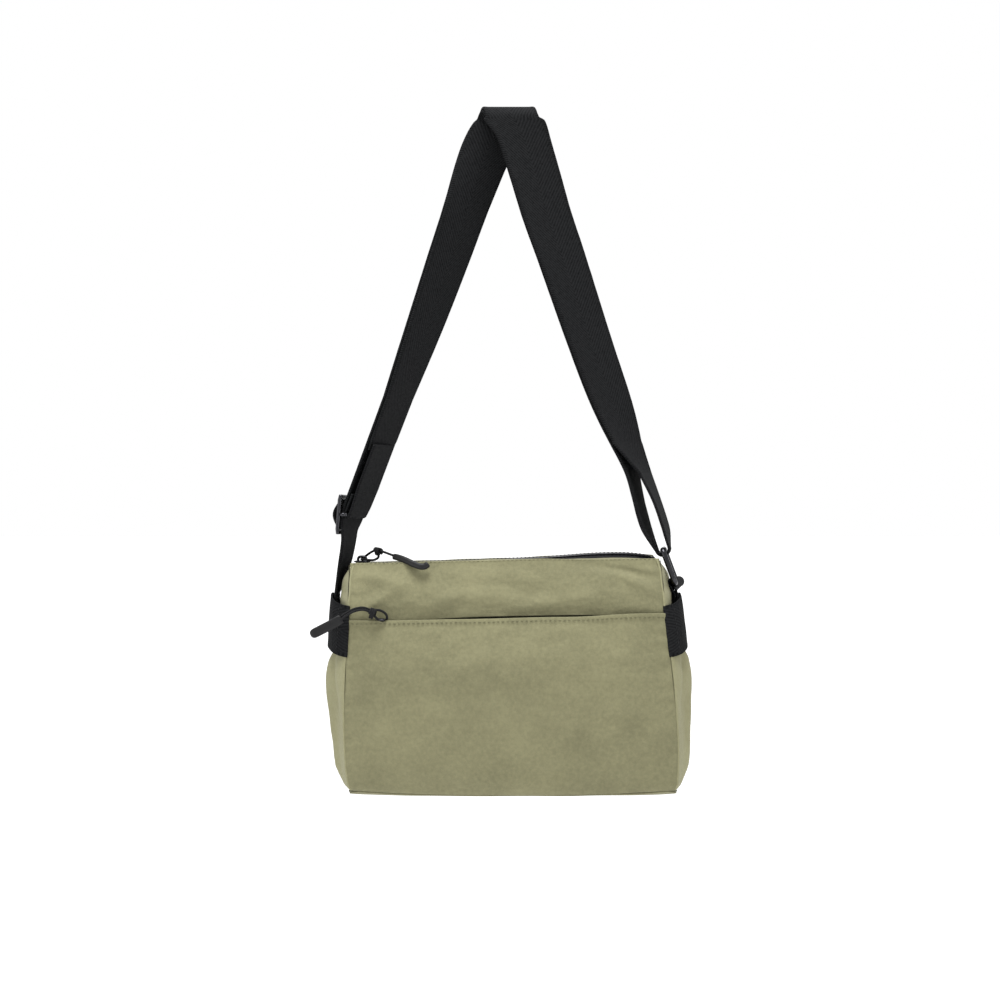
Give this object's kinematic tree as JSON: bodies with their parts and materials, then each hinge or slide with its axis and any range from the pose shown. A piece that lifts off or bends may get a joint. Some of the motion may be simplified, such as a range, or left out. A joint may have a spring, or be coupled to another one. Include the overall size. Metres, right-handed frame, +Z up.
{
  "type": "crossbody purse",
  "caption": "Small rectangular fabric crossbody bag with a zipped top, a zipped front pocket and an adjustable webbing strap, hanging from the strap's fold.",
  "frame": {"origin": "the hook line: the underside of the strap's fold, where a hook or shoulder carries it", "axes": "+Z up as it hangs, +X to the right as seen from the front, -Y towards the front"},
  "size_m": [0.2862, 0.1005, 0.5181],
  "materials": {
    "olive_nylon": "matte woven nylon",
    "olive_lining": "plain woven lining",
    "grey_board": "plain board",
    "black_webbing": "twill-woven webbing",
    "black_tape": "woven zip tape",
    "black_resin": "moulded",
    "gunmetal": "dark plated",
    "black_cord": "braided cord",
    "black_rubber": "matte moulded"
  },
  "bodies": {
    "strap": {"strap_webbing": "black_webbing", "ring_loop": "black_webbing"},
    "bag": {"pocket_panel": "olive_nylon", "front_upper_panel": "olive_nylon", "back_panel": "olive_nylon", "left_gusset": "olive_nylon", "right_gusset": "olive_nylon", "left_side_band": "black_webbing", "right_side_band": "black_webbing", "base_panel": "olive_nylon", "base_board": "grey_board", "pocket_lining": "olive_lining", "main_lining": "olive_lining", "top_front_facing": "olive_nylon", "top_back_facing": "olive_nylon", "top_zip_tape_front": "black_tape", "top_zip_tape_back": "black_tape", "top_zip_teeth_front": "black_resin", "top_zip_teeth_back": "black_resin", "pocket_zip_tape_lower": "black_tape", "pocket_zip_tape_upper": "black_tape", "pocket_zip_coil_lower": "black_resin", "pocket_zip_coil_upper": "black_resin"},
    "adjuster": {"strap_slider": "gunmetal", "strap_end_loop": "black_webbing"},
    "ring": {"right_ring": "gunmetal"},
    "top_slider": {"top_zip_slider": "gunmetal"},
    "top_pull": {"top_pull_cord": "black_cord", "top_pull_grip": "black_rubber"},
    "pocket_slider": {"pocket_zip_slider": "gunmetal"},
    "pocket_pull": {"pocket_pull_cord": "black_cord", "pocket_pull_grip": "black_rubber"}
  },
  "joints": [
    {"name": "bag_swing", "type": "hinge", "parent": "strap", "child": "bag", "pos_m": [0, -0.0018, -0.3641], "axis": [1, 0, 0], "range_deg": [-8, 5]},
    {"name": "adjuster_slide", "type": "slide", "parent": "strap", "child": "adjuster", "axis": [0.3529, 0.0093, 0.9356], "range_m": [0, 0.03]},
    {"name": "ring_pivot", "type": "hinge", "parent": "strap", "child": "ring", "pos_m": [0.1278, 0, -0.356], "axis": [0.0698, 0.9976, 0], "range_deg": [-3, 3]},
    {"name": "top_zip", "type": "slide", "parent": "bag", "child": "top_slider", "axis": [0.9994, 0, 0.034], "range_m": [0, 0.18]},
    {"name": "top_pull_flip", "type": "hinge", "parent": "top_slider", "child": "top_pull", "pos_m": [-0.11048, 0, -0.33831], "axis": [0, -1, 0], "range_deg": [0, 120]},
    {"name": "pocket_zip", "type": "slide", "parent": "bag", "child": "pocket_slider", "axis": [0.9998, 0, 0.0184], "range_m": [0, 0.175]},
    {"name": "pocket_pull_flip", "type": "hinge", "parent": "pocket_slider", "child": "pocket_pull", "pos_m": [-0.09396, -0.04167, -0.38232], "axis": [0, 0, 1], "range_deg": [0, 140]}
  ]
}
